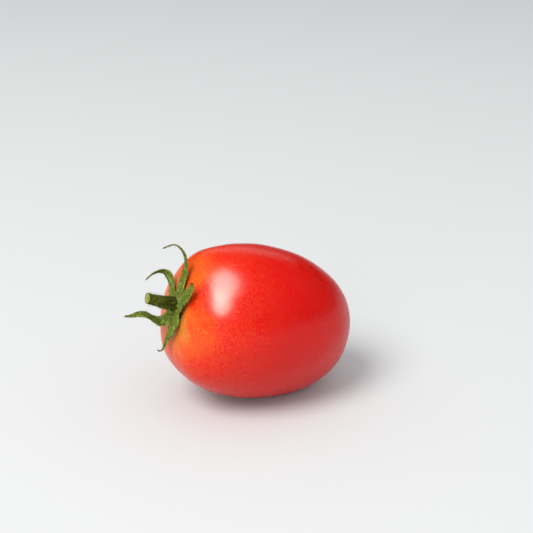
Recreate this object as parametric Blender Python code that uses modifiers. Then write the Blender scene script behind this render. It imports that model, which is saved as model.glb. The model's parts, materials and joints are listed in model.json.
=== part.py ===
"""A plum tomato as picked, lying on its side: the fruit, its cut stem and the five sepals of its calyx.

Every piece is modelled upright, with the fruit's core along +Z and the stem end up. One empty then tips
the whole tomato over, so that the stem end points along -X and a little up, and sets it on the ground.
The origin is the middle of the small flat spot that the fruit rests on, with +Z up. Lengths are in metres.
"""

import math

import bmesh
import bpy
from mathutils import Matrix, Vector

MM = 0.001

# The fruit
FRUIT_LENGTH = 71.0 * MM  # along the core, shoulder to blossom end
FRUIT_DIAMETER = 57.5 * MM  # at the middle of the core
BLUNTNESS = 2.93  # 2 gives an ellipse, more gives squarer shoulders
EGG_SHAPE = 0.067  # share by which the stem end is fuller than the blossom end
SHOULDER_SAG = 1.4 * MM  # how far the shoulder hangs towards the underside
LOBE_COUNT = 5
LOBE_DEPTH = 0.35 * MM  # the soft ribs that run down from the stem
LOBE_START = 0.8  # share of the way from the middle to the shoulder where they are at their full depth
SEGMENTS, RINGS = 48, 34

# How it lies
CORE_TILT = math.radians(16.0)  # the stem end is this far above level
FLAT_DEPTH = 1.35 * MM  # how much of the underside the flat spot takes

# The calyx and stem
CALYX_OFFSET = 3.9 * MM  # the stem grows this far off the core, towards the upper side
CALYX_SINK = 1.0 * MM  # the sepals join this far below the shoulder
STEM_RADIUS = 2.0 * MM  # at the cut
STEM_LENGTH = 13.7 * MM
STEM_LEAN = 1.2 * MM  # sideways, at the cut, towards the upper side
COLLAR_RADIUS = 3.0 * MM  # where the stem widens to carry the sepals
COLLAR_HEIGHT = 1.8 * MM
DIMPLE_MARGIN = 3.5 * MM  # how much further than the collar the dimple around it reaches
GAP = 0.35 * MM  # between neighbouring pieces
# The stem from the collar to the cut, as (share of the way, share of the collar's extra radius left)
STEM_TAPER = [(0.0, 0.7), (0.3, 0.25), (0.6, 0.07), (1.0, 0.0)]
# The collar from its foot to its top, as (share of its height, share of its radius)
COLLAR_PROFILE = [(-GAP / COLLAR_HEIGHT, 0.8), (0.15, 1.0), (0.7, 1.0)]

# The sepals: where each one starts, in degrees around the stem, then points along its middle line in
# millimetres, as (out from the stem, up from the calyx, sideways, width). At 0 degrees is the upper side
# and at 90 the -Y side, and sideways is towards more degrees.
SEPAL_THICKNESS = 0.7 * MM
SEPAL_FOLD = 0.1  # how far the edges hang below the middle line, as a share of the width
STEPS_PER_POINT = 3
STRIPS = 4
SEPALS = {
    "sepal_top": (
        -5,
        [
            (0.0, 1.1, 0.0, 2.3),
            (3.2, 1.4, 0.0, 4.7),
            (7.0, 0.9, 0.0, 4.2),
            (10.4, 0.7, 0.1, 2.7),
            (13.4, 1.3, 0.2, 1.9),
            (16.4, 3.6, 0.3, 1.7),
            (18.0, 7.0, 0.4, 1.4),
            (16.1, 11.4, 0.3, 0.6),
        ],
    ),
    "sepal_front": (
        55,
        [
            (0.0, 1.3, 0.0, 2.3),
            (3.7, 2.2, -0.4, 4.3),
            (6.3, 2.5, -0.8, 3.8),
            (8.0, 2.5, -1.8, 3.0),
            (9.1, 2.4, -2.9, 2.2),
            (9.8, 2.3, -3.8, 1.2),
        ],
    ),
    "sepal_hanging": (
        155,
        [
            (0.0, 1.2, 0.0, 2.3),
            (2.9, 2.2, 0.0, 4.8),
            (4.9, 2.7, 1.0, 4.2),
            (6.7, 2.8, 2.7, 3.1),
            (8.3, 2.8, 3.9, 2.8),
            (10.9, 2.7, 6.3, 1.7),
            (12.4, 3.0, 6.9, 1.2),
            (13.1, 4.1, 7.0, 0.9),
            (12.7, 4.9, 7.2, 0.6),
        ],
    ),
    "sepal_forward": (
        207,
        [
            (0.0, 1.2, 0.0, 2.3),
            (3.3, 1.8, 0.0, 4.6),
            (5.9, 3.4, 0.7, 5.0),
            (6.1, 5.6, 1.3, 4.6),
            (4.9, 8.7, 1.8, 3.7),
            (4.7, 11.1, 2.0, 3.1),
            (5.6, 12.8, 2.6, 2.4),
            (7.6, 14.4, 3.3, 1.5),
            (8.5, 16.2, 3.9, 0.6),
        ],
    ),
    "sepal_back": (
        297,
        [
            (0.0, 1.3, 0.0, 2.3),
            (4.1, 1.3, 0.8, 4.4),
            (6.7, 1.1, 1.6, 4.2),
            (9.5, 2.2, 2.7, 3.2),
            (10.1, 4.7, 3.1, 1.9),
            (8.3, 8.7, 2.9, 1.2),
            (5.4, 12.1, 2.3, 0.6),
        ],
    ),
}

HALF_LENGTH = FRUIT_LENGTH / 2
HALF_WIDTH = FRUIT_DIAMETER / 2
CALYX_Z = HALF_LENGTH - CALYX_SINK
DIMPLE_RADIUS = COLLAR_RADIUS + DIMPLE_MARGIN


def clear_scene():
    for thing in list(bpy.data.objects):
        bpy.data.objects.remove(thing)


def new_collection(name):
    collection = bpy.data.collections.new(name)
    bpy.context.scene.collection.children.link(collection)
    return collection


def put_in(collection, thing):
    for other in thing.users_collection:
        other.objects.unlink(thing)
    collection.objects.link(thing)


def material(name, color, roughness):
    made = bpy.data.materials.new(name)
    made.use_nodes = True
    shader = made.node_tree.nodes["Principled BSDF"]
    shader.inputs["Base Color"].default_value = (*color, 1.0)
    shader.inputs["Roughness"].default_value = roughness
    shader.inputs["Metallic"].default_value = 0.0
    return made


def smooth_step(low, high, value):
    """Rises from 0 at low to 1 at high, with level ends."""
    share = min(max((value - low) / (high - low), 0.0), 1.0)
    return share * share * (3 - 2 * share)


def skin_level(away):
    """Level along the core, from 0 at the middle to 1 at an end, where the skin is a share away from it."""
    return math.sqrt(max(1 - away**BLUNTNESS, 0.0))


def skin_radius(away, level):
    return HALF_WIDTH * away * (1 + EGG_SHAPE * level)


def skin_height(distance):
    """Height of the skin above the middle of the core, at a distance from the core near the stem end."""
    level = 1.0
    for _ in range(4):
        level = skin_level(min(distance / skin_radius(1, level), 1.0))
    return level * HALF_LENGTH


def dimple(x, y):
    """How far the skin dips at a place near the stem, so that the collar sits in it with a gap."""
    away = math.hypot(x - CALYX_OFFSET, y) / DIMPLE_RADIUS
    return (CALYX_SINK + 2 * GAP) * math.exp(-(away**4))


def skin_point(away, turn, side):
    """A point of the skin, from its share away from the core, its turn and its end: 1 is the stem's."""
    level = math.copysign(skin_level(away), side)
    shoulder = max(level, 0.0)
    lobe = LOBE_DEPTH * smooth_step(0.0, LOBE_START, shoulder) * math.cos(LOBE_COUNT * turn)
    radius = skin_radius(away, level) + lobe * away
    x = radius * math.cos(turn) - SHOULDER_SAG * shoulder**3
    y = radius * math.sin(turn)
    z = level * HALF_LENGTH
    if side > 0:
        z -= dimple(x, y)
    return Vector((x, y, z))


def make_fruit(finish):
    bpy.ops.mesh.primitive_uv_sphere_add(segments=SEGMENTS, ring_count=RINGS, radius=1.0)
    fruit = bpy.context.object
    fruit.name = "fruit"
    for vertex in fruit.data.vertices:
        x, y, z = vertex.co
        vertex.co = skin_point(min(math.hypot(x, y), 1.0), math.atan2(y, x), z)
    fruit.data.materials.append(finish)
    fruit.data.shade_smooth()
    return fruit


def mesh_from_curve(curve, name, finish):
    """The curve as a closed mesh with its caps welded on; the curve itself is removed."""
    graph = bpy.context.evaluated_depsgraph_get()
    data = bpy.data.meshes.new_from_object(curve.evaluated_get(graph))
    made = bpy.data.objects.new(name, data)
    made.matrix_world = curve.matrix_world
    bpy.data.objects.remove(curve)
    cleaner = bmesh.new()
    cleaner.from_mesh(data)
    bmesh.ops.remove_doubles(cleaner, verts=cleaner.verts, dist=0.01 * MM)
    bmesh.ops.recalc_face_normals(cleaner, faces=cleaner.faces)
    cleaner.to_mesh(data)
    cleaner.free()
    data.materials.clear()
    data.materials.append(finish)
    data.shade_smooth()
    data.set_sharp_from_angle(angle=math.radians(50))
    return made


def make_stem(finish):
    """A tapering stem, wider in the collar that sits in the dimple and carries the sepals."""
    stations = [(share * COLLAR_HEIGHT, wide * COLLAR_RADIUS) for share, wide in COLLAR_PROFILE]
    for share, extra in STEM_TAPER:
        height = COLLAR_HEIGHT + share * (STEM_LENGTH - COLLAR_HEIGHT)
        stations.append((height, STEM_RADIUS + extra * (COLLAR_RADIUS - STEM_RADIUS)))
    data = bpy.data.curves.new("stem", "CURVE")
    data.dimensions = "3D"
    data.bevel_depth = STEM_RADIUS
    data.bevel_resolution = 4
    data.use_fill_caps = True
    line = data.splines.new("POLY")
    line.points.add(len(stations) - 1)
    for point, (height, radius) in zip(line.points, stations):
        lean = STEM_LEAN * (max(height, 0.0) / STEM_LENGTH) ** 2
        point.co = (CALYX_OFFSET + lean, 0.0, CALYX_Z + height, 1.0)
        point.radius = radius / STEM_RADIUS
    curve = bpy.data.objects.new("stem_line", data)
    bpy.context.scene.collection.objects.link(curve)
    return mesh_from_curve(curve, "stem", finish)


def between(before, start, end, after, share):
    """A point on the Catmull-Rom curve through four points, a share of the way from start to end."""
    first = (end - before) * share
    second = (2 * before - 5 * start + 4 * end - after) * share**2
    third = (3 * start - before - 3 * end + after) * share**3
    return start + (first + second + third) / 2


def sepal_rows(points):
    """Smooth stations along a sepal, each (out, up, side, width), with even steps between the given ones."""
    knots = [Vector(point) * MM for point in points]
    knots = [knots[0], *knots, knots[-1]]
    rows = []
    for number in range(len(points) - 1):
        for step in range(STEPS_PER_POINT):
            rows.append(between(*knots[number : number + 4], step / STEPS_PER_POINT))
    return [*rows, knots[-1]]


def lift_off_skin(point, root):
    """Raises a point of a sepal's middle line where the sepal would otherwise touch the skin."""
    x, y, _ = root @ point
    skin = skin_height(math.hypot(x, y)) - dimple(x, y)
    point.z = max(point.z, skin + LOBE_DEPTH + GAP + SEPAL_THICKNESS / 2)
    return point


def make_sepal(name, degrees, points, finish):
    """A leaf-like strip that follows its middle line, a little folded along it, given a thickness."""
    root = Matrix.Translation((CALYX_OFFSET, 0, 0)) @ Matrix.Rotation(-math.radians(degrees), 4, "Z")
    rows = sepal_rows(points)
    line = []
    for out, up, side, _ in rows:
        line.append(lift_off_skin(Vector((COLLAR_RADIUS + GAP + out, -side, CALYX_Z + up)), root))

    shaper = bmesh.new()
    bmesh.ops.create_grid(shaper, x_segments=len(rows) - 1, y_segments=STRIPS, size=0.5)
    for vertex in shaper.verts:
        row = round((vertex.co.x + 0.5) * (len(rows) - 1))
        across = vertex.co.y
        ahead = (line[min(row + 1, len(rows) - 1)] - line[max(row - 1, 0)]).normalized()
        sideways = (Vector((0, 1, 0)) - ahead * ahead.y).normalized()
        facing = ahead.cross(sideways)
        width = rows[row][3]
        vertex.co = line[row] + width * (sideways * across - facing * SEPAL_FOLD * abs(across))
    bmesh.ops.recalc_face_normals(shaper, faces=shaper.faces)
    data = bpy.data.meshes.new(name)
    shaper.to_mesh(data)
    shaper.free()

    data.transform(root)
    data.materials.append(finish)
    data.shade_smooth()
    sepal = bpy.data.objects.new(name, data)
    wall = sepal.modifiers.new("thickness", "SOLIDIFY")
    wall.thickness = SEPAL_THICKNESS
    wall.offset = 0.0
    return sepal


def lay_down(empty, fruit):
    """Tips the tomato on its side and sets it so that the middle of its flat spot is the origin."""
    tip = Matrix.Rotation(CORE_TILT - math.pi / 2, 4, "Y")
    lying = [tip @ vertex.co for vertex in fruit.data.vertices]
    ground = min(point.z for point in lying) + FLAT_DEPTH
    rim = []
    for edge in fruit.data.edges:
        below, above = sorted((lying[number] for number in edge.vertices), key=lambda point: point.z)
        if below.z < ground < above.z:
            rim.append(below.lerp(above, (ground - below.z) / (above.z - below.z)).x)
    empty.rotation_euler = tip.to_euler()
    empty.location = (-(min(rim) + max(rim)) / 2, 0.0, -ground)


def cut_flat_spot(fruit, helpers):
    """The ground, as a thick slab, takes the lowest slice off the fruit."""
    size = 2 * FRUIT_LENGTH
    bpy.ops.mesh.primitive_cube_add(size=size, location=(0, 0, -size / 2))
    ground = bpy.context.object
    ground.name = "ground"
    ground.hide_render = True
    ground.display_type = "WIRE"
    put_in(helpers, ground)
    cut = fruit.modifiers.new("flat_spot", "BOOLEAN")
    cut.operation = "DIFFERENCE"
    cut.solver = "EXACT"
    cut.object = ground


def main():
    clear_scene()
    tomato = new_collection("tomato")
    helpers = new_collection("helpers")
    skin = material("tomato_skin", (0.72, 0.06, 0.02), 0.35)
    green = material("calyx_green", (0.16, 0.26, 0.08), 0.6)
    stem_green = material("stem_green", (0.12, 0.19, 0.04), 0.6)

    fruit = make_fruit(skin)
    pieces = [fruit, make_stem(stem_green)]
    for name, (degrees, points) in SEPALS.items():
        pieces.append(make_sepal(name, degrees, points, green))

    lying = bpy.data.objects.new("tomato_lying", None)
    tomato.objects.link(lying)
    lay_down(lying, fruit)
    for piece in pieces:
        put_in(tomato, piece)
        piece.parent = lying
    cut_flat_spot(fruit, helpers)


main()
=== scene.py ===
import json
import math
import random

import bmesh
import bpy
from mathutils import Matrix, Vector

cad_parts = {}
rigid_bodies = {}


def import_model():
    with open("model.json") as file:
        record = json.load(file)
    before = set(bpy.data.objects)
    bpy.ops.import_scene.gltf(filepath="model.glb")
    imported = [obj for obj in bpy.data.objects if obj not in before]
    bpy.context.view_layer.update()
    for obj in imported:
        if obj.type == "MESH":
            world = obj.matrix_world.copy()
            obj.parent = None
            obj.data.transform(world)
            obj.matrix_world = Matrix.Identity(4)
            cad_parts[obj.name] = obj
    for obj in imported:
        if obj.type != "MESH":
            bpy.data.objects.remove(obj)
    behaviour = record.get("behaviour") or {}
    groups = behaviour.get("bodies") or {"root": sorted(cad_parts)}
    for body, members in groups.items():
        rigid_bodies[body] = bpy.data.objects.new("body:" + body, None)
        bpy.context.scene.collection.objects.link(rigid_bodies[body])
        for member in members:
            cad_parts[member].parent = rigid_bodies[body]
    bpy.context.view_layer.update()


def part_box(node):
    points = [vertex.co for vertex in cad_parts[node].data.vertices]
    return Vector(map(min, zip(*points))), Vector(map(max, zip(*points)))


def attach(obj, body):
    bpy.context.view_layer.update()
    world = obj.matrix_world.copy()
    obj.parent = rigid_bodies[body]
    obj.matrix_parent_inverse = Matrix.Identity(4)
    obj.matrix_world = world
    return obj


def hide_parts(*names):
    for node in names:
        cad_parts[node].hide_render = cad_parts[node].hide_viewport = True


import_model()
print("frame loaded")

mm = 0.001
fruitLow, fruitHigh = [Vector(corner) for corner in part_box("fruit")]
fruitMiddle = (fruitLow + fruitHigh) / 2

# every piece is built standing, with the core along +Z, then tipped over so the stem end points at -X
coreTilt = 16  # degrees that the stem end is above level
layingTurn = Matrix.Rotation(math.radians(coreTilt - 90), 4, "Y")


# working in edit mode
def dropPicks():
    if bpy.context.object and bpy.context.object.mode == "EDIT":
        bpy.ops.object.mode_set(mode="OBJECT")
    bpy.ops.object.select_all(action="DESELECT")


def pickPiece(piece):
    dropPicks()
    piece.select_set(True)
    bpy.context.view_layer.objects.active = piece


def editNewPiece(name):
    piece = bpy.context.object
    piece.name = piece.data.name = name
    pickPiece(piece)
    bpy.ops.object.mode_set(mode="EDIT")
    return piece


def pickPoints(piece, test):
    shape = bmesh.from_edit_mesh(piece.data)
    for point in shape.verts:
        point.select_set(bool(test(point)))
    shape.select_flush_mode()
    bmesh.update_edit_mesh(piece.data)


def pickWhere(piece, test):
    pickPoints(piece, lambda point: test(point.co))


def pickNumbers(piece, numbers):
    pickPoints(piece, lambda point: point.index in numbers)


def rowsAlong(piece, axis):
    # point numbers of a fresh primitive, row by row, from its low end to its high end
    sameRow = 0.01 * mm
    shape = bmesh.from_edit_mesh(piece.data)
    rows = []
    last = None
    for point in sorted(shape.verts, key=lambda point: point.co[axis]):
        if last is None or point.co[axis] - last > sameRow:
            rows.append(set())
        rows[-1].add(point.index)
        last = point.co[axis]
    return rows


def moveBy(offset, **soft):
    bpy.ops.transform.translate(value=offset, **soft)


def moveSoftly(offset, reach):
    # what lies within reach of the picked points follows them, less and less
    moveBy(offset, use_proportional_edit=True, proportional_edit_falloff="SMOOTH",
           proportional_size=reach)


def scaleBy(factors, centre):
    bpy.ops.transform.resize(value=factors, center_override=centre)


def turnBy(angle, axis, centre):
    # with no window the rotate operator turns the other way
    bpy.ops.transform.rotate(value=-angle, orient_axis=axis, center_override=centre)


def newRing(name, sides, radius, place, fill="NGON"):
    # a disc or an open ring, left in edit mode with all of it picked
    dropPicks()
    bpy.ops.mesh.primitive_circle_add(vertices=sides, radius=radius, fill_type=fill, location=(0, 0, 0))
    piece = editNewPiece(name)
    bpy.ops.mesh.select_all(action="SELECT")
    moveBy(place)
    return piece


def drawOut(extrude, start, end, size):
    # one more ring of a tube, at the end place and so much wider or narrower
    extrude(TRANSFORM_OT_translate={"value": end - start})
    scaleBy((size, size, 1), end)


def roughUp(offset, uniform, normal, seed):
    bpy.ops.mesh.select_all(action="SELECT")
    bpy.ops.transform.vertex_random(offset=offset, uniform=uniform, normal=normal, seed=seed)


def applyModifier(piece, kind, **settings):
    pickPiece(piece)
    modifier = piece.modifiers.new("shaping", kind)
    for name, value in settings.items():
        setattr(modifier, name, value)
    bpy.ops.object.modifier_apply(modifier=modifier.name)


def smoothFiner(piece, levels):
    applyModifier(piece, "SUBSURF", levels=levels, render_levels=levels)


def putInPlace(piece, place):
    pickPiece(piece)
    piece.matrix_world = place
    bpy.ops.object.transform_apply(location=True, rotation=True, scale=True)
    bpy.ops.object.shade_smooth()


def belongs(piece, node):
    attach(piece, "root")
    if node:
        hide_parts(node)


# finishes and their nodes
def paint(red, green, blue):
    # a screen colour, 0 to 255, as the shader wants it
    parts = [part / 255 for part in (red, green, blue)]
    return (*[part / 12.92 if part <= 0.04045 else ((part + 0.055) / 1.055) ** 2.4 for part in parts], 1)


def newFinish(name, settings):
    finish = bpy.data.materials.new(name)
    finish.use_nodes = True
    tree = finish.node_tree
    shader = tree.nodes["Principled BSDF"]
    for socket, value in settings.items():
        shader.inputs[socket].default_value = value
    return finish, tree, shader


def feed(tree, socket, value):
    # a socket takes another node's result or a plain value
    if isinstance(value, bpy.types.NodeSocket):
        tree.links.new(value, socket)
    else:
        socket.default_value = value


def addNode(tree, kind, inputs=None, **options):
    made = tree.nodes.new("ShaderNode" + kind)
    for name, value in options.items():
        setattr(made, name, value)
    for name, value in (inputs or {}).items():
        feed(tree, made.inputs[name], value)
    return made


def bodyCoordinates(tree):
    return addNode(tree, "TexCoord").outputs["Object"]


def coreCoordinates(tree):
    # turned back to the standing fruit: Z runs up its core to the stem
    tilt = (0, math.radians(coreTilt - 90), 0)
    back = addNode(tree, "Mapping", vector_type="TEXTURE", inputs={
        "Location": coreCentre, "Rotation": tilt, "Vector": bodyCoordinates(tree)})
    return back.outputs["Vector"]


def stretchOf(tree, where, scale):
    return addNode(tree, "Mapping", {"Scale": scale, "Vector": where}).outputs["Vector"]


def partOf(tree, where, axis):
    return addNode(tree, "SeparateXYZ", {"Vector": where}).outputs[axis]


def noiseOf(tree, where, scale, detail=3, roughness=0.5, distortion=0):
    made = addNode(tree, "TexNoise", {"Scale": scale, "Detail": detail, "Roughness": roughness,
                                      "Distortion": distortion, "Vector": where})
    return made.outputs["Fac"]


def shareOf(tree, value, low, high, least=0.0, most=1.0):
    # least below low and most above high, with soft ends
    made = addNode(tree, "MapRange", interpolation_type="SMOOTHSTEP", inputs={
        "From Min": low, "From Max": high, "To Min": least, "To Max": most, "Value": value})
    return made.outputs["Result"]


def mathOf(tree, operation, first, second=0):
    return addNode(tree, "Math", {0: first, 1: second}, operation=operation).outputs[0]


def vectorOf(tree, operation, first, second=(0, 0, 0)):
    # a distance or a dot product comes out as a number, the rest as a vector
    made = addNode(tree, "VectorMath", {0: first, 1: second}, operation=operation)
    return made.outputs["Value" if operation in ("DISTANCE", "DOT_PRODUCT") else "Vector"]


def swayBy(tree, value, pattern, amount, middle=0.5):
    # the value, moved up and down by a pattern around its middle
    around = mathOf(tree, "SUBTRACT", pattern, middle)
    return mathOf(tree, "ADD", value, mathOf(tree, "MULTIPLY", around, amount))


def blendOf(tree, share, first, second):
    return addNode(tree, "Mix", {0: share, 6: first, 7: second}, data_type="RGBA").outputs[2]


def layOver(tree, under, value, layer):
    # a layer is (from, to, most, colour): its colour comes in as the value goes from one to the other
    low, high, most, colour = layer
    return blendOf(tree, shareOf(tree, value, low, high, 0, most), under, colour)


def rampOf(tree, value, stops):
    made = addNode(tree, "ValToRGB", {"Fac": value})
    marks = made.color_ramp.elements
    while len(marks) < len(stops):
        marks.new(0.5)  # anywhere: it gets its place below
    for mark, (place, colour) in zip(marks, stops):
        mark.position = place
        mark.color = colour
    return made.outputs["Color"]


def roughen(tree, shader, pattern, smoothest, roughest):
    # nearly all of a noise lies between 0.3 and 0.7
    feed(tree, shader.inputs["Roughness"], shareOf(tree, pattern, 0.3, 0.7, smoothest, roughest))


def addBump(tree, shader, layers):
    # layers of (height, strength, distance in metres), one over the other
    under = None
    for height, strength, distance in layers:
        inputs = {"Height": height, "Strength": strength, "Distance": distance}
        if under:
            inputs["Normal"] = under
        under = addNode(tree, "Bump", inputs).outputs["Normal"]
    feed(tree, shader.inputs["Normal"], under)


# the fruit
fruitMake = {
    "length": 71.0 * mm,
    "diameter": 57.5 * mm,
    "bluntness": 2.93,  # 2 gives an ellipse, more gives squarer shoulders
    "eggShape": 0.067,  # how much fuller the stem end is
    "shoulderSag": 1.4 * mm,
    "segments": 64,
    "rings": 44,
    "pickReach": 3 * mm,  # what is picked around a place, before a soft pull
    "lobes": 5,
    "lobeCrest": (0.78, 0.42),  # outwards and up, as shares of the radius and of the length
    "lobeRise": 0.35,
    "lobePull": 0.45 * mm,
    "lobeReach": 15 * mm,
    "fullPlace": (19, 9, 27),  # in millimetres, where one shoulder is fuller than the rest
    "fullWay": (0.58, 0.45, 0.69),
    "fullSwell": 1.4,  # in millimetres
    "fullReach": 12 * mm,
    "calyxOffset": 3.9 * mm,  # the stem grows this far off the core
    "calyxHeight": 34.5 * mm,  # and this far up it
    "dimpleDepth": 1.7 * mm,
    "dimpleFloor": 2.6 * mm,
    "dimpleReach": 5.4 * mm,
    "scarDepth": 0.7 * mm,  # where the flower dried off at the far end
    "scarFloor": 0.8 * mm,
    "scarReach": 4.5 * mm,
    "unevenness": 0.35 * mm,
    "unevenSize": 17 * mm,
    "shader": {"Specular IOR Level": 0.3, "Subsurface Weight": 0.12,
               "Subsurface Radius": (1.0, 0.25, 0.1), "Subsurface Scale": 0.003},
    "roughness": (0.25, 0.31),
    "poreBump": (0.35, 0.08 * mm),
    # noises, as (scale, detail, roughness, distortion)
    "clouds": (70, 3, 0.5),
    "patches": (190, 4, 0.6),
    "grain": (1900, 3, 0.6),
    "pores": (2100, 2, 0.6),
    "streaks": (4.5, 3, 0.5, 0.4),
    "streakRun": 28,  # less makes the streaks longer
    # how far each noise moves the border between two colours
    "cloudSway": 12 * mm,
    "streakSway": 10 * mm,
    "grainSway": 12 * mm,
    "calyxSway": 14 * mm,
    "lastToRipen": (0.12, 0.1, 1.0),  # which way the orange end lies
    # which way a rib lies from the calyx, how near to it counts, and how far it moves the border
    # the red rib follows the front sepal: partly the skin's own red, partly painted shadow of that sepal
    # on the orange
    "redRibAndSepalShadow": ((0.53, -0.85, 0), 0.86, 0.99, 7 * mm),
    "paleRib": ((-0.98, 0.1, 0), -0.1, 0.8, 9 * mm),
    # colours, as (from, to, most, colour): bright and orange by height, yellow and olive by distance
    # from the calyx
    "ripe": paint(194, 5, 1),
    "bright": (10 * mm, 28 * mm, 1, paint(200, 15, 2)),
    "orange": (24.5 * mm, 36.3 * mm, 1, paint(204, 76, 9)),
    "yellow": (9 * mm, 1 * mm, 1, paint(190, 104, 24)),
    "olive": (4 * mm, -4 * mm, 0.5, paint(128, 100, 30)),
    "patch": (0.52, 0.75, 0.04, paint(204, 76, 9)),
    "fleck": paint(230, 122, 46),
    "fleckGrain": (0.48, 0.68),
    "fleckHeight": (0.0, 36 * mm, 0.03, 0.4),  # from, to, and how many flecks at each
}


def shapeRings(fruit, make):
    half = make["diameter"] / 2
    rows = rowsAlong(fruit, 2)
    for number, row in enumerate(rows):
        turn = math.pi * (1 - number / (len(rows) - 1))  # pi at the blossom end, 0 at the stem
        away = math.sin(turn)
        level = math.copysign(max(1 - away ** make["bluntness"], 0) ** 0.5, math.cos(turn))
        ringZ = half * math.cos(turn)
        pickNumbers(fruit, row)
        fuller = 1 + make["eggShape"] * level
        scaleBy((fuller, fuller, 1), (0, 0, ringZ))
        sag = make["shoulderSag"] * max(level, 0) ** 3
        moveBy((-sag, 0, level * make["length"] / 2 - ringZ))


def pullLobes(fruit, make):
    # soft ribs on the shoulder, with shallow troughs between them
    half = make["diameter"] / 2
    wide, high = make["lobeCrest"]
    for number in range(2 * make["lobes"]):
        turn = math.pi * number / make["lobes"]
        outward = Vector((math.cos(turn), math.sin(turn), make["lobeRise"]))
        crest = Vector((outward.x * half * wide, outward.y * half * wide, make["length"] * high))
        pickWhere(fruit, lambda place: (place - crest).length < make["pickReach"])
        pull = make["lobePull"] * (1 if number % 2 == 0 else -1)
        moveSoftly(outward * pull, make["lobeReach"])


def fillShoulder(fruit, make):
    crest = Vector(make["fullPlace"]) * mm
    pickWhere(fruit, lambda place: (place - crest).length < make["pickReach"])
    moveSoftly(Vector(make["fullWay"]) * make["fullSwell"] * mm, make["fullReach"])


def pushIn(fruit, centreX, end, floor, depth, reach):
    # a round dimple at one end of the core: 1 is the stem's end and -1 the blossom's
    pickWhere(fruit, lambda place: place.z * end > 0 and math.hypot(place.x - centreX, place.y) < floor)
    moveSoftly((0, 0, -end * depth), reach)


def makeFruit(make):
    dropPicks()
    bpy.ops.mesh.primitive_uv_sphere_add(segments=make["segments"], ring_count=make["rings"],
                                         radius=make["diameter"] / 2)
    fruit = editNewPiece("plumFruit")
    shapeRings(fruit, make)
    pullLobes(fruit, make)
    fillShoulder(fruit, make)
    bpy.ops.object.mode_set(mode="OBJECT")
    smoothFiner(fruit, levels=1)
    bpy.ops.object.mode_set(mode="EDIT")
    pushIn(fruit, make["calyxOffset"], 1, make["dimpleFloor"], make["dimpleDepth"], make["dimpleReach"])
    pushIn(fruit, 0, -1, make["scarFloor"], make["scarDepth"], make["scarReach"])
    bpy.ops.object.mode_set(mode="OBJECT")
    smoothFiner(fruit, levels=1)
    growth = bpy.data.textures.new("unevenGrowth", "CLOUDS")
    growth.noise_scale = make["unevenSize"]
    growth.noise_depth = 1
    applyModifier(fruit, "DISPLACE", texture=growth, texture_coords="LOCAL", mid_level=0.5,
                  strength=2 * make["unevenness"])
    return fruit


def restOnGround(fruit):
    # lays the fruit down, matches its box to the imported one, and presses its flat spot
    putInPlace(fruit, layingTurn)
    places = [point.co for point in fruit.data.vertices]
    high = Vector([max(place[axis] for place in places) for axis in range(3)])
    low = Vector([min(place[axis] for place in places) for axis in range(3)])
    centre = Vector((fruitHigh.x - high.x, fruitMiddle.y - (low.y + high.y) / 2, fruitHigh.z - high.z))
    putInPlace(fruit, Matrix.Translation(centre))
    bpy.ops.object.mode_set(mode="EDIT")
    pickWhere(fruit, lambda place: place.z < 0)
    scaleBy((1, 1, 0), (0, 0, 0))
    bpy.ops.object.mode_set(mode="OBJECT")
    return centre


def ribOf(tree, heading, rib):
    # how far a border is moved along this rib
    way, low, high, shift = rib
    return shareOf(tree, vectorOf(tree, "DOT_PRODUCT", heading, way), low, high, 0, shift)


def skinFinish(make):
    finish, tree, shader = newFinish("ripeSkin", make["shader"])
    inCore = coreCoordinates(tree)
    clouds = noiseOf(tree, inCore, *make["clouds"])
    patches = noiseOf(tree, inCore, *make["patches"])
    grain = noiseOf(tree, inCore, *make["grain"])
    pores = noiseOf(tree, inCore, *make["pores"])

    # streaks that run away from the calyx over the shoulder
    calyx = (make["calyxOffset"], 0, make["calyxHeight"])
    fromCalyx = vectorOf(tree, "DISTANCE", inCore, calyx)
    sideways = vectorOf(tree, "MULTIPLY", vectorOf(tree, "SUBTRACT", inCore, calyx), (1, 1, 0))
    heading = vectorOf(tree, "NORMALIZE", sideways)
    runOut = addNode(tree, "CombineXYZ", {"Z": mathOf(tree, "MULTIPLY", fromCalyx, make["streakRun"])})
    streaks = noiseOf(tree, vectorOf(tree, "ADD", heading, runOut.outputs[0]), *make["streaks"])

    # red over most of the fruit, orange at the shoulder, with a soft and uneven border
    ripening = vectorOf(tree, "DOT_PRODUCT", inCore, make["lastToRipen"])
    ragged = swayBy(tree, ripening, clouds, make["cloudSway"])
    ragged = swayBy(tree, ragged, streaks, make["streakSway"])
    # less orange along the front sepal: partly the skin's own red, partly painted shadow of the sepal
    ragged = mathOf(tree, "SUBTRACT", ragged, ribOf(tree, heading, make["redRibAndSepalShadow"]))
    colour = layOver(tree, make["ripe"], ragged, make["bright"])
    colour = layOver(tree, colour, swayBy(tree, ragged, grain, make["grainSway"]), make["orange"])

    # yellow and a little green close to the calyx
    nearCalyx = mathOf(tree, "SUBTRACT", fromCalyx, ribOf(tree, heading, make["paleRib"]))
    nearCalyx = swayBy(tree, nearCalyx, streaks, -make["calyxSway"])
    colour = layOver(tree, colour, nearCalyx, make["yellow"])
    colour = layOver(tree, colour, nearCalyx, make["olive"])
    colour = layOver(tree, colour, patches, make["patch"])

    # fine pale flecks, more of them at the shoulder
    speckled = shareOf(tree, grain, *make["fleckGrain"])
    many = shareOf(tree, partOf(tree, inCore, "Z"), *make["fleckHeight"])
    colour = blendOf(tree, mathOf(tree, "MULTIPLY", speckled, many), colour, make["fleck"])
    feed(tree, shader.inputs["Base Color"], colour)
    roughen(tree, shader, patches, *make["roughness"])
    addBump(tree, shader, [(pores, *make["poreBump"])])
    return finish


fruit = makeFruit(fruitMake)
coreCentre = restOnGround(fruit)
belongs(fruit, "fruit")
laid = Matrix.Translation(coreCentre) @ layingTurn
print("fruit made, core centre", [round(part / mm, 2) for part in coreCentre])
fruit.data.materials.append(skinFinish(fruitMake))
print("skin painted")


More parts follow.
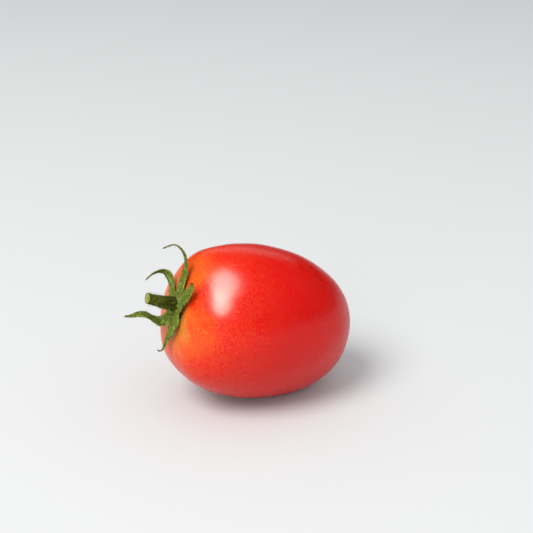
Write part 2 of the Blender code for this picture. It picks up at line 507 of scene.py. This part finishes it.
# the stem, with the foot that carries the sepals
stemMake = {
    "sides": 28,
    "lean": 1.2 * mm,  # sideways at the cut
    "length": 13.7 * mm,
    # up from the foot and radius, in millimetres
    "stations": [
        (-0.3, 2.3), (0.4, 2.9), (1.0, 3.0), (1.6, 2.98), (2.3, 2.86), (3.1, 2.72), (4.4, 2.56),
        (5.9, 2.4), (7.4, 2.24), (7.9, 2.22), (8.2, 2.3), (8.5, 2.18), (9.6, 2.06), (11.2, 1.96),
        (12.6, 1.93), (13.3, 1.98), (13.7, 1.92)],
    "ridges": 5,
    "ridgeStart": 1.8 * mm,  # up from the foot
    "ridgeEdge": 0.35,  # more makes the ridges narrower
    "ridgeRise": 1.035,
    # insets of the cut face, as (width in from the edge, step down) in millimetres
    "cutSteps": [(0.22, 0.02), (0.2, 0.16), (0.75, -0.03), (0.3, 0.18)],
    "cutFace": (0.5 * mm, 1.72 * mm),  # how deep and how far out it has its own finish
    "crumple": (0.06 * mm, 0.5, 0.5, 4),  # how far, how evenly, how much of it outwards, and the seed
    "shader": {"Specular IOR Level": 0.05},
    "roughness": (0.52, 0.72),
    # noises, as (scale, detail, roughness)
    "stretch": (620, 620, 240),
    "streaks": (1, 4, 0.6),
    "mottle": (420, 4, 0.6),
    "flecks": (3200, 2, 0.5),
    "greens": [(0.3, paint(18, 25, 1)), (0.5, paint(38, 46, 3)), (0.7, paint(72, 80, 14))],
    # colours over the greens, as (from, to, most, colour)
    "mottled": (0.45, 0.7, 1, paint(54, 58, 10)),
    "flecked": (0.6, 0.74, 0.4, paint(112, 120, 36)),
    "paleEnd": (0.45, paint(84, 84, 20)),  # most and colour, towards the cut
    "paleStart": 4 * mm,  # up from the foot
    "streakBump": (0.6, 0.25 * mm),
    "fleckBump": (0.4, 0.1 * mm),
    "cutShader": {"Specular IOR Level": 0.15},
    "cutRoughness": (0.4, 0.6),
    "fibres": (2600, 3, 0.6),
    "fibreSway": 0.4 * mm,  # how far the fibres bend the rings
    "cutRings": (0.2 * mm, 2.2 * mm),
    "cutGreens": [(0.0, paint(60, 66, 20)), (0.12, paint(98, 104, 38)), (0.3, paint(134, 142, 62)),
                  (0.62, paint(118, 126, 50)), (0.76, paint(150, 158, 82)), (0.95, paint(84, 92, 30))],
    "cutBump": (0.5, 0.2 * mm),
}


def stemPlace(make, up):
    lean = make["lean"] * (max(up, 0) / make["length"]) ** 2
    return Vector((fruitMake["calyxOffset"] + lean, 0, fruitMake["calyxHeight"] + up))


def makeStem(make):
    (firstUp, radius), *others = make["stations"]
    place = stemPlace(make, firstUp * mm)
    stem = newRing("cutStem", make["sides"], radius * mm, place)
    for up, wide in others:
        here = stemPlace(make, up * mm)
        drawOut(bpy.ops.mesh.extrude_region_move, place, here, wide / radius)
        place, radius = here, wide
    for width, down in make["cutSteps"]:
        bpy.ops.mesh.inset(thickness=width * mm, depth=0)
        moveBy((0, 0, -down * mm))
    ridgeStart = fruitMake["calyxHeight"] + make["ridgeStart"]

    def onRidge(point):
        middle = stemPlace(make, point.z - fruitMake["calyxHeight"])
        turn = math.atan2(point.y - middle.y, point.x - middle.x)
        return point.z > ridgeStart and math.cos(make["ridges"] * turn) > make["ridgeEdge"]

    pickWhere(stem, onRidge)
    scaleBy((make["ridgeRise"], make["ridgeRise"], 1), place)
    roughUp(*make["crumple"])
    bpy.ops.mesh.normals_make_consistent(inside=False)
    bpy.ops.object.mode_set(mode="OBJECT")
    stem.data.materials.append(stemFinish(make))
    stem.data.materials.append(cutFinish(make))
    deep, wide = make["cutFace"]
    for face in stem.data.polygons:
        off = (face.center - place).xy.length
        face.material_index = int(face.center.z > place.z - deep and off < wide)
    smoothFiner(stem, levels=2)
    putInPlace(stem, laid)
    belongs(stem, "stem")
    return stem


def stemFinish(make):
    finish, tree, shader = newFinish("hairyStemGreen", make["shader"])
    inCore = coreCoordinates(tree)
    streaks = noiseOf(tree, stretchOf(tree, inCore, make["stretch"]), *make["streaks"])
    mottle = noiseOf(tree, inCore, *make["mottle"])
    flecks = noiseOf(tree, inCore, *make["flecks"])
    green = rampOf(tree, streaks, make["greens"])
    green = layOver(tree, green, mottle, make["mottled"])
    foot = fruitMake["calyxHeight"]
    paleEnd = (foot + make["paleStart"], foot + make["length"], *make["paleEnd"])
    green = layOver(tree, green, partOf(tree, inCore, "Z"), paleEnd)
    green = layOver(tree, green, flecks, make["flecked"])
    feed(tree, shader.inputs["Base Color"], green)
    roughen(tree, shader, mottle, *make["roughness"])
    addBump(tree, shader, [(streaks, *make["streakBump"]), (flecks, *make["fleckBump"])])
    return finish


def cutFinish(make):
    finish, tree, shader = newFinish("cutFaceGreen", make["cutShader"])
    inCore = coreCoordinates(tree)
    off = vectorOf(tree, "DISTANCE", inCore, stemPlace(make, make["length"]))
    fibres = noiseOf(tree, inCore, *make["fibres"])
    wavy = swayBy(tree, off, fibres, make["fibreSway"], 0)
    rings = rampOf(tree, shareOf(tree, wavy, *make["cutRings"]), make["cutGreens"])
    feed(tree, shader.inputs["Base Color"], rings)
    roughen(tree, shader, fibres, *make["cutRoughness"])
    addBump(tree, shader, [(fibres, *make["cutBump"])])
    return finish


stem = makeStem(stemMake)
print("stem made")


# the sepals: where each one starts, in degrees around the stem, the twist at its tip in degrees, where
# along it the tip dries, and its middle line in millimetres, as (out from the foot, up, sideways, width)
sepalLines = {
    "topSepal": {
        "node": "sepal_top", "turn": -5, "twist": 10, "dry": 0.97,
        "line": [
            (0.0, 1.9, 0.0, 3.9), (3.2, 1.5, 0.0, 4.5), (7.0, 0.9, 0.0, 3.9), (10.4, 0.7, 0.1, 2.7),
            (13.4, 1.3, 0.2, 1.9), (16.4, 3.6, 0.3, 1.6), (18.0, 7.0, 0.4, 1.3), (16.1, 11.4, 0.3, 0.5)],
    },
    "frontSepal": {
        "node": "sepal_front", "turn": 55, "twist": 0, "dry": 0.93,
        "line": [
            (0.0, 2.1, 0.0, 3.9), (3.7, 2.3, -0.4, 4.5), (6.3, 2.5, -0.8, 4.0), (8.0, 2.5, -1.8, 3.2),
            (9.1, 2.4, -2.9, 2.4), (9.8, 2.3, -3.8, 1.2)],
    },
    "hangingSepal": {
        "node": "sepal_hanging", "turn": 155, "twist": 0, "dry": 0.9,
        "line": [
            (0.0, 2.1, 0.0, 4.6), (2.9, 2.3, 0.0, 5.6), (4.9, 2.7, 1.0, 5.0), (6.7, 2.8, 2.7, 3.7),
            (8.3, 2.8, 3.9, 2.6), (10.9, 2.7, 6.3, 1.6), (12.4, 3.0, 6.9, 1.1), (13.1, 4.1, 7.0, 0.8),
            (12.7, 4.9, 7.2, 0.45)],
    },
    "forwardSepal": {
        "node": "sepal_forward", "turn": 207, "twist": 0, "dry": 0.98,
        "line": [
            (0.0, 2.1, 0.0, 4.0), (3.3, 2.1, 0.0, 4.8), (5.9, 3.4, 0.7, 5.0), (6.1, 5.6, 1.3, 4.6),
            (4.9, 8.7, 1.8, 3.7), (4.7, 11.1, 2.0, 3.1), (5.6, 12.8, 2.6, 2.3), (7.6, 14.4, 3.3, 1.4),
            (8.5, 16.2, 3.9, 0.5)],
    },
    "backSepal": {
        "node": "sepal_back", "turn": 297, "twist": 0, "dry": 0.97,
        "line": [
            (0.0, 2.0, 0.0, 3.9), (4.1, 1.5, 0.8, 4.3), (6.7, 1.1, 1.6, 4.0), (9.5, 2.2, 2.7, 3.1),
            (10.1, 4.7, 3.1, 1.9), (8.3, 8.7, 2.9, 1.1), (5.4, 12.1, 2.3, 0.5)],
    },
}
sepalMake = {
    "footReach": 3.35 * mm,  # from the stem's middle to where a line starts
    "tuck": [(-1.2, 3.5, 0.0, 2.4), (-0.75, 2.7, 0.0, 3.2)],  # start hidden in the foot
    "stepsPerPoint": 3,
    "strips": 6,
    "narrowest": 0.3,  # in millimetres
    "fold": 0.16,  # how far the edges hang, as a share of half the width
    "foldCurve": 1.5,
    "edgeWave": 0.09,
    "edgeLift": 1.4,  # how much more the edges wander up and down than sideways
    "crumple": 0.03 * mm,
    "thickness": 0.42 * mm,
    "shader": {"Specular IOR Level": 0.05, "Subsurface Weight": 0.06, "Subsurface Scale": 0.0005},
    "roughness": (0.5, 0.72),
    # the side away from the fruit, the side towards it, and the edge, each dark, middle and light
    "sides": {
        "sepalOutside": (paint(42, 56, 6), paint(88, 102, 22), paint(142, 158, 66)),
        "sepalInside": (paint(50, 58, 3), paint(80, 87, 6), paint(108, 114, 20)),
        "sepalEdge": (paint(84, 92, 10), paint(112, 120, 26), paint(142, 150, 54)),
    },
    "hairy": {"sepalOutside": 0.55, "sepalInside": 0.25, "sepalEdge": 0.5},
    "shadeStops": (0.34, 0.5, 0.64),
    # noises, as (scale, detail, roughness)
    "mottle": (850, 5, 0.65),
    "fuzz": (2500, 3, 0.6),
    "stretch": (5, 22, 1),
    "fibres": (1, 3, 0.6),
    "veins": 5,
    "veinSway": 0.07,
    # where a pattern shows, as (from, to, most)
    "furrowed": (-0.2, -1.0, 0.6),
    "veined": (0.6, 1.0, 0.3),
    "fibrous": (0.5, 0.7, 0.55),
    "fuzzy": (0.54, 0.68),
    "fuzzTone": paint(152, 166, 104),
    "drySway": 0.12,
    "yellowed": (-0.06, 0.08, 0.6, paint(112, 84, 30)),  # counted from where the tip dries
    "dried": (0.03, 0.1, 1, paint(76, 48, 26)),
    "veinBump": (0.6, 0.2 * mm),
    "fibreBump": (0.5, 0.2 * mm),
    "fuzzBump": (0.6, 0.15 * mm),
}


def smoothLine(points, steps):
    # even steps on a smooth curve through the given points
    knots = [Vector(point) for point in (points[0], *points, points[-1])]
    rows = []
    for number in range(len(points) - 1):
        before, start, end, after = knots[number:number + 4]
        for step in range(steps):
            share = step / steps
            bend = (2 * before - 5 * start + 4 * end - after) * share ** 2
            rest = (3 * start - before - 3 * end + after) * share ** 3
            rows.append(start + ((end - before) * share + bend + rest) / 2)
    return [*rows, knots[-1]]


def waveEdges(sepal, rows, half, make, chance):
    # the outer points of each row wander a little, before the rows are sized
    drift = make["edgeWave"] * half
    outermost = 0.9 * half
    for row in rows:
        for side in (-1, 1):
            edge = {number for number in row if sepal.data.vertices[number].co.y * side > outermost}
            pickNumbers(sepal, edge)
            outward = side * chance.uniform(-drift, drift)
            moveBy((0, outward, chance.uniform(-drift, drift) * make["edgeLift"]))


def layRow(sepal, row, flatX, place, ahead, width, twist):
    centre = (flatX, 0, 0)
    pickNumbers(sepal, row)
    scaleBy((1, width, width), centre)
    if twist:
        turnBy(twist, "X", centre)
    turnBy(math.asin(max(-1, min(1, ahead.y))), "Z", centre)
    turnBy(-math.atan2(ahead.z, ahead.x), "Y", centre)
    moveBy(place - Vector(centre))


def foldDown(sepal, half, make):
    # the lines of points to both sides of the middle hang lower, the outer ones most
    nearEnough = 0.1
    for share in (1 / 3, 2 / 3, 1):
        pickWhere(sepal, lambda place: abs(abs(place.y) / half - share) < nearEnough)
        moveBy((0, 0, -make["fold"] * half * share ** make["foldCurve"]))


def makeSepal(name, own, seed, make):
    chance = random.Random(seed)
    points = smoothLine([*make["tuck"], *own["line"]], make["stepsPerPoint"])
    places = [Vector((make["footReach"] + out * mm, -side * mm, fruitMake["calyxHeight"] + up * mm))
              for out, up, side, width in points]
    half = 1 * mm
    last = len(points) - 1
    dropPicks()
    bpy.ops.mesh.primitive_grid_add(x_subdivisions=last, y_subdivisions=make["strips"], size=2 * half)
    sepal = editNewPiece(name)
    rows = rowsAlong(sepal, 0)
    foldDown(sepal, half, make)
    waveEdges(sepal, rows, half, make, chance)
    roughUp(make["crumple"], 0, 0, seed)
    for number, row in enumerate(rows):
        ahead = (places[min(number + 1, last)] - places[max(number - 1, 0)]).normalized()
        flatX = -half + 2 * half * number / last
        width = max(points[number][3], make["narrowest"]) * mm / (2 * half)
        twist = math.radians(own["twist"]) * (number / last) ** 2
        layRow(sepal, row, flatX, places[number], ahead, width, twist)
    bpy.ops.object.mode_set(mode="OBJECT")
    for side in make["sides"]:
        sepal.data.materials.append(sepalFinish(side, own, make))
    applyModifier(sepal, "SOLIDIFY", thickness=make["thickness"], offset=0, material_offset=1,
                  material_offset_rim=2)
    smoothFiner(sepal, levels=2)
    aroundStem = Matrix.Rotation(-math.radians(own["turn"]), 4, "Z")
    putInPlace(sepal, laid @ Matrix.Translation((fruitMake["calyxOffset"], 0, 0)) @ aroundStem)
    belongs(sepal, own["node"])
    return sepal


def sepalFinish(side, own, make):
    finish, tree, shader = newFinish(side, make["shader"])
    surface = addNode(tree, "TexCoord").outputs["UV"]
    along, across = partOf(tree, surface, "X"), partOf(tree, surface, "Y")
    body = bodyCoordinates(tree)
    mottle = noiseOf(tree, body, *make["mottle"])
    fuzz = noiseOf(tree, body, *make["fuzz"])
    fibres = noiseOf(tree, stretchOf(tree, surface, make["stretch"]), *make["fibres"])
    wander = swayBy(tree, across, mottle, make["veinSway"], 0)
    veins = mathOf(tree, "SINE", mathOf(tree, "MULTIPLY", wander, 2 * math.pi * make["veins"]))

    dark, middle, light = shades = make["sides"][side]
    green = rampOf(tree, mottle, list(zip(make["shadeStops"], shades)))
    green = layOver(tree, green, veins, (*make["furrowed"], dark))
    green = layOver(tree, green, veins, (*make["veined"], light))
    green = layOver(tree, green, fibres, (*make["fibrous"], dark))
    green = layOver(tree, green, fuzz, (*make["fuzzy"], make["hairy"][side], make["fuzzTone"]))
    ragged = swayBy(tree, along, mottle, make["drySway"], 0)
    for start, end, most, colour in (make["yellowed"], make["dried"]):
        green = layOver(tree, green, ragged, (own["dry"] + start, own["dry"] + end, most, colour))
    feed(tree, shader.inputs["Base Color"], green)
    roughen(tree, shader, mottle, *make["roughness"])
    addBump(tree, shader, [(veins, *make["veinBump"]), (fibres, *make["fibreBump"]),
                           (fuzz, *make["fuzzBump"])])
    return finish


sepals = []
for number, (name, own) in enumerate(sepalLines.items()):
    sepals.append(makeSepal(name, own, number + 1, sepalMake))
print("sepals made", len(sepals))


# the cup that joins the sepals round the stem's foot
cupMake = {
    "sides": 30,
    # up from the foot and radius, in millimetres, from the stem down and outwards, then back under
    "stations": [(3.6, 2.3), (2.7, 2.75), (2.15, 3.4), (1.75, 4.2), (1.4, 4.7), (1.0, 4.6), (0.9, 3.4)],
    "troughDepth": 0.9,  # size left between two sepals
    "troughStart": 3 * mm,  # out from the middle
    "sepalHold": 0.9,  # less makes the troughs narrower
    "crumple": (0.08 * mm, 0.5, 0.5, 6),  # how far, how evenly, how much of it outwards, and the seed
    "shader": {"Specular IOR Level": 0.08},
    "roughness": (0.52, 0.7),
    # noises, as (scale, detail, roughness)
    "mottle": (620, 4, 0.6),
    "fuzz": (3600, 2, 0.6),
    "greens": [(0.3, paint(50, 60, 12)), (0.5, paint(78, 90, 26)), (0.72, paint(106, 116, 48))],
    "fuzzy": (0.52, 0.72, 0.35, paint(140, 146, 84)),  # from, to, most, colour
    "mottleBump": (0.5, 0.3 * mm),
    "fuzzBump": (0.4, 0.1 * mm),
}


def cupPlace(up):
    return Vector((fruitMake["calyxOffset"], 0, fruitMake["calyxHeight"] + up * mm))


def makeCup(make):
    (firstUp, radius), *others = make["stations"]
    place = cupPlace(firstUp)
    cup = newRing("calyxCup", make["sides"], radius * mm, place, "NOTHING")
    for up, wide in others:
        here = cupPlace(up)
        drawOut(bpy.ops.mesh.extrude_edges_move, place, here, wide / radius)
        place, radius = here, wide
    sepalTurns = [-math.radians(own["turn"]) for own in sepalLines.values()]

    def betweenSepals(point):
        away = point.xy - place.xy
        turn = math.atan2(away.y, away.x)
        nearest = max(math.cos(turn - other) for other in sepalTurns)
        return away.length > make["troughStart"] and nearest < make["sepalHold"]

    pickWhere(cup, betweenSepals)
    scaleBy((make["troughDepth"], make["troughDepth"], 1), place)
    roughUp(*make["crumple"])
    bpy.ops.object.mode_set(mode="OBJECT")
    closeRims(cup)
    smoothFiner(cup, levels=2)
    putInPlace(cup, laid)
    cup.data.materials.append(cupFinish(make))
    belongs(cup, None)


def closeRims(piece):
    # fills the open rims of a tube, top and bottom
    pickPiece(piece)
    bpy.ops.object.mode_set(mode="EDIT")
    bpy.ops.mesh.select_all(action="DESELECT")
    bpy.ops.mesh.select_mode(type="EDGE")
    bpy.ops.mesh.select_non_manifold()
    bpy.ops.mesh.edge_face_add()
    bpy.ops.mesh.select_mode(type="VERT")
    bpy.ops.mesh.select_all(action="SELECT")
    bpy.ops.mesh.normals_make_consistent(inside=False)
    bpy.ops.object.mode_set(mode="OBJECT")


def cupFinish(make):
    finish, tree, shader = newFinish("calyxCupGreen", make["shader"])
    body = bodyCoordinates(tree)
    mottle = noiseOf(tree, body, *make["mottle"])
    fuzz = noiseOf(tree, body, *make["fuzz"])
    green = layOver(tree, rampOf(tree, mottle, make["greens"]), fuzz, make["fuzzy"])
    feed(tree, shader.inputs["Base Color"], green)
    roughen(tree, shader, mottle, *make["roughness"])
    addBump(tree, shader, [(mottle, *make["mottleBump"]), (fuzz, *make["fuzzBump"])])
    return finish


makeCup(cupMake)
print("cup made")


# fine hairs on the stem and the sepals
hairMake = {
    "sides": 4,
    "radius": 0.055 * mm,
    "steps": [(0.4, 0.8, 0.03), (0.35, 0.6, 0.09), (0.25, 0.25, 0.12)],  # up, size left, sideways
    "stemHairs": 320,
    "edgeHairs": 60,
    "faceHairs": 50,
    "lengths": (0.45, 1.05),  # in millimetres
    "lean": 30,  # degrees either way
    "bareEnd": 0.4 * mm,  # no hairs this near to the cut
    "seed": 21,
    "shader": {"Roughness": 0.45, "Specular IOR Level": 0.1},
    "tint": (800, 2),  # noise, as (scale, detail)
    "greens": [(0.3, paint(108, 120, 40)), (0.7, paint(160, 168, 92))],
}


def makeHair(make):
    place = Vector((0, 0, 0))
    hair = newRing("oneHair", make["sides"], make["radius"], place)
    for up, size, aside in make["steps"]:
        here = place + Vector((aside * mm, 0, up * mm))
        drawOut(bpy.ops.mesh.extrude_region_move, place, here, size)
        place = here
    bpy.ops.mesh.select_all(action="SELECT")
    bpy.ops.mesh.normals_make_consistent(inside=False)
    bpy.ops.object.mode_set(mode="OBJECT")
    return hair


def facesOf(piece, wanted):
    return [face for face in piece.data.polygons if wanted(face)]


def hairRoots(faces, count, chance):
    areas = [face.area for face in faces]
    picked = chance.choices(faces, weights=areas, k=count)
    return [(face.center.copy(), face.normal.copy()) for face in picked]


def growHairs(make):
    chance = random.Random(make["seed"])
    hair = makeHair(make)
    bareFrom = (laid @ stemPlace(stemMake, stemMake["length"])).x + make["bareEnd"]

    def onStemSide(face):
        return face.material_index == 0 and face.center.x > bareFrom

    # the stem's faces are numbered differently in each run, so they are put in order by their place
    stemFaces = sorted(facesOf(stem, onStemSide), key=lambda face: tuple(face.center))
    roots = hairRoots(stemFaces, make["stemHairs"], chance)
    for sepal in sepals:
        edges = facesOf(sepal, lambda face: face.material_index == 2)
        outside = facesOf(sepal, lambda face: face.material_index == 0)
        roots += hairRoots(edges, make["edgeHairs"], chance)
        roots += hairRoots(outside, make["faceHairs"], chance)
    copies = []
    for place, normal in roots:
        copy = hair.copy()
        copy.data = hair.data.copy()
        bpy.context.collection.objects.link(copy)
        outward = normal.to_track_quat("Z", "Y").to_matrix().to_4x4()
        spin = Matrix.Rotation(chance.uniform(0, 2 * math.pi), 4, "Z")
        tilt = Matrix.Rotation(math.radians(chance.uniform(-make["lean"], make["lean"])), 4, "X")
        length = Matrix.Diagonal((1, 1, chance.uniform(*make["lengths"]), 1))
        copy.matrix_world = Matrix.Translation(place) @ outward @ spin @ tilt @ length
        copies.append(copy)
    pickPiece(copies[0])
    for copy in copies:
        copy.select_set(True)
    bpy.ops.object.join()
    hairs = bpy.context.object
    hairs.name = hairs.data.name = "fineHairs"
    bpy.data.objects.remove(hair)
    putInPlace(hairs, hairs.matrix_world.copy())
    hairs.data.materials.append(hairFinish(make))
    belongs(hairs, None)


def hairFinish(make):
    finish, tree, shader = newFinish("paleHair", make["shader"])
    tint = noiseOf(tree, bodyCoordinates(tree), *make["tint"])
    feed(tree, shader.inputs["Base Color"], rampOf(tree, tint, make["greens"]))
    return finish


growHairs(hairMake)
print("hairs grown")


# the dried tip where the flower fell, at the far end
tipMake = {
    "sides": 14,
    "radius": 1.25 * mm,
    "top": -34.75 * mm,
    # down, size left, sideways
    "steps": [(0.22, 0.82, 0.0), (0.2, 0.6, 0.05), (0.3, 0.55, 0.1), (0.35, 0.6, 0.12)],
    "crumple": (0.09 * mm, 0.6, 0.2, 9),  # how far, how evenly, how much of it outwards, and the seed
    "shader": {"Roughness": 0.8, "Specular IOR Level": 0.1},
    "grain": (2200, 4, 0.6),  # noise, as (scale, detail, roughness)
    "browns": [(0.3, paint(84, 40, 20)), (0.5, paint(140, 82, 42)), (0.75, paint(186, 130, 78))],
    "grainBump": (0.8, 0.2 * mm),
}


def makeBlossomTip(make):
    place = Vector((0, 0, make["top"]))
    tip = newRing("blossomTip", make["sides"], make["radius"], place)
    for down, size, aside in make["steps"]:
        here = place + Vector((aside * mm, 0, -down * mm))
        drawOut(bpy.ops.mesh.extrude_region_move, place, here, size)
        place = here
    roughUp(*make["crumple"])
    bpy.ops.mesh.normals_make_consistent(inside=False)
    bpy.ops.object.mode_set(mode="OBJECT")
    smoothFiner(tip, levels=2)
    putInPlace(tip, laid)
    tip.data.materials.append(tipFinish(make))
    belongs(tip, None)


def tipFinish(make):
    finish, tree, shader = newFinish("dryTip", make["shader"])
    grain = noiseOf(tree, bodyCoordinates(tree), *make["grain"])
    feed(tree, shader.inputs["Base Color"], rampOf(tree, grain, make["browns"]))
    addBump(tree, shader, [(grain, *make["grainBump"])])
    return finish


makeBlossomTip(tipMake)
print("blossom tip made")


# the floor, the light and the camera
floorMake = {
    "size": 8.0,
    "below": 0.02 * mm,  # keeps it clear of the flat spot
    "tone": paint(198, 199, 198),
    "darker": 0.985,  # its darker clouds, as a share of the tone
    "clouds": (3, 2),  # noise, as (scale, detail)
    "shader": {"Roughness": 0.7, "Specular IOR Level": 0.2},
}
airMake = {
    "tone": (0.94, 0.96, 1.0, 1),
    "strength": 0.85,
}
# which way a lamp lies from the fruit and which way its long side runs, its distance, width and length,
# watts and tone, and whether it lights things or is only mirrored in them
lampMakes = {
    "keySoftbox": {
        "heading": (-0.6, -0.18, 0.78), "longWay": (-0.52, -0.755, -0.47), "distance": 2.5,
        "size": (1.3, 1.7), "watts": 62, "tone": (1.0, 0.99, 0.98), "mirrored": False,
    },
    "leftFill": {
        "heading": (-0.68, -0.68, 0.28), "longWay": (0.62, -0.78, 0), "distance": 2.0,
        "size": (1.2, 1.2), "watts": 12, "tone": (1.0, 0.98, 0.96), "mirrored": False,
    },
    "upperGloss": {
        "heading": (-0.34, -0.04, 0.94), "longWay": (-0.605, -0.71, -0.355), "distance": 2.5,
        "size": (1.55, 1.3), "watts": 112, "tone": (1, 0.95, 0.88), "mirrored": True,
    },
    "lowerGloss": {
        "heading": (-0.61, -0.3, 0.73), "longWay": (-0.605, -0.71, -0.355), "distance": 2.5,
        "size": (1.4, 1.8), "watts": 150, "tone": (1, 0.95, 0.88), "mirrored": True,
    },
    "rearGloss": {
        "heading": (0.45, 0.78, 0.42), "longWay": (0.87, -0.5, 0), "distance": 2.4,
        "size": (0.8, 2.2), "watts": 4, "tone": (1.0, 0.9, 0.8), "mirrored": True,
    },
}
cameraMake = {
    "heading": 30.57,  # degrees from +Y towards +X
    "down": 20.0,
    "distance": 0.4713,
    "aimAside": 3.8 * mm,
    "aimUp": 19.3 * mm,
    "lens": 85,
    "sensor": 36,
    "nearest": 0.01,
    "furthest": 20,
}


def layFloor(make):
    dropPicks()
    bpy.ops.mesh.primitive_plane_add(size=make["size"], location=(0, 0, -make["below"]))
    floor = bpy.context.object
    floor.name = "paleFloor"
    finish, tree, shader = newFinish("paleFloor", make["shader"])
    cloud = noiseOf(tree, bodyCoordinates(tree), *make["clouds"])
    deeper = (*[part * make["darker"] for part in make["tone"][:3]], 1)
    feed(tree, shader.inputs["Base Color"], blendOf(tree, cloud, make["tone"], deeper))
    floor.data.materials.append(finish)


def hangLamp(name, make, shiny):
    lamp = bpy.data.lights.new(name, "AREA")
    lamp.shape = "ELLIPSE"
    lamp.size, lamp.size_y = make["size"]
    lamp.energy = make["watts"]
    lamp.color = make["tone"]
    holder = bpy.data.objects.new(name, lamp)
    bpy.context.scene.collection.objects.link(holder)
    away = Vector(make["heading"]).normalized()
    side = Vector(make["longWay"]).cross(away).normalized()
    holder.location = fruitMiddle + away * make["distance"]
    holder.rotation_euler = Matrix((side, away.cross(side), away)).transposed().to_euler()
    holder.visible_camera = False
    holder.visible_glossy = make["mirrored"]
    holder.visible_diffuse = not make["mirrored"]
    if make["mirrored"]:
        holder.light_linking.receiver_collection = shiny


def setLight():
    shiny = bpy.data.collections.new("shinyPieces")  # the mirrored lamps show in these alone
    for piece in bpy.context.scene.objects:
        if piece.type == "MESH" and not piece.hide_render and piece.name != "paleFloor":
            shiny.objects.link(piece)
    for name, make in lampMakes.items():
        hangLamp(name, make, shiny)
    air = bpy.data.worlds.new("studioAir")
    air.use_nodes = True
    glow = air.node_tree.nodes["Background"]
    glow.inputs["Color"].default_value = airMake["tone"]
    glow.inputs["Strength"].default_value = airMake["strength"]
    bpy.context.scene.world = air
    air.cycles_visibility.glossy = False  # the air fills the shadows but isn't mirrored
    bpy.context.scene.view_settings.view_transform = "Standard"


def setCamera(make):
    heading, down = math.radians(make["heading"]), math.radians(make["down"])
    level = math.cos(down)
    ahead = Vector((math.sin(heading) * level, math.cos(heading) * level, -math.sin(down)))
    aside = ahead.cross(Vector((0, 0, 1))).normalized()
    upward = aside.cross(ahead)
    aim = fruitMiddle + aside * make["aimAside"] + upward * make["aimUp"]
    eye = bpy.data.cameras.new("tableCamera")
    eye.lens = make["lens"]
    eye.sensor_width = make["sensor"]
    eye.clip_start, eye.clip_end = make["nearest"], make["furthest"]
    camera = bpy.data.objects.new("tableCamera", eye)
    bpy.context.scene.collection.objects.link(camera)
    camera.location = aim - ahead * make["distance"]
    camera.rotation_euler = (math.pi / 2 - down, 0, -heading)
    bpy.context.scene.camera = camera


layFloor(floorMake)
setLight()
setCamera(cameraMake)
print("studio set")
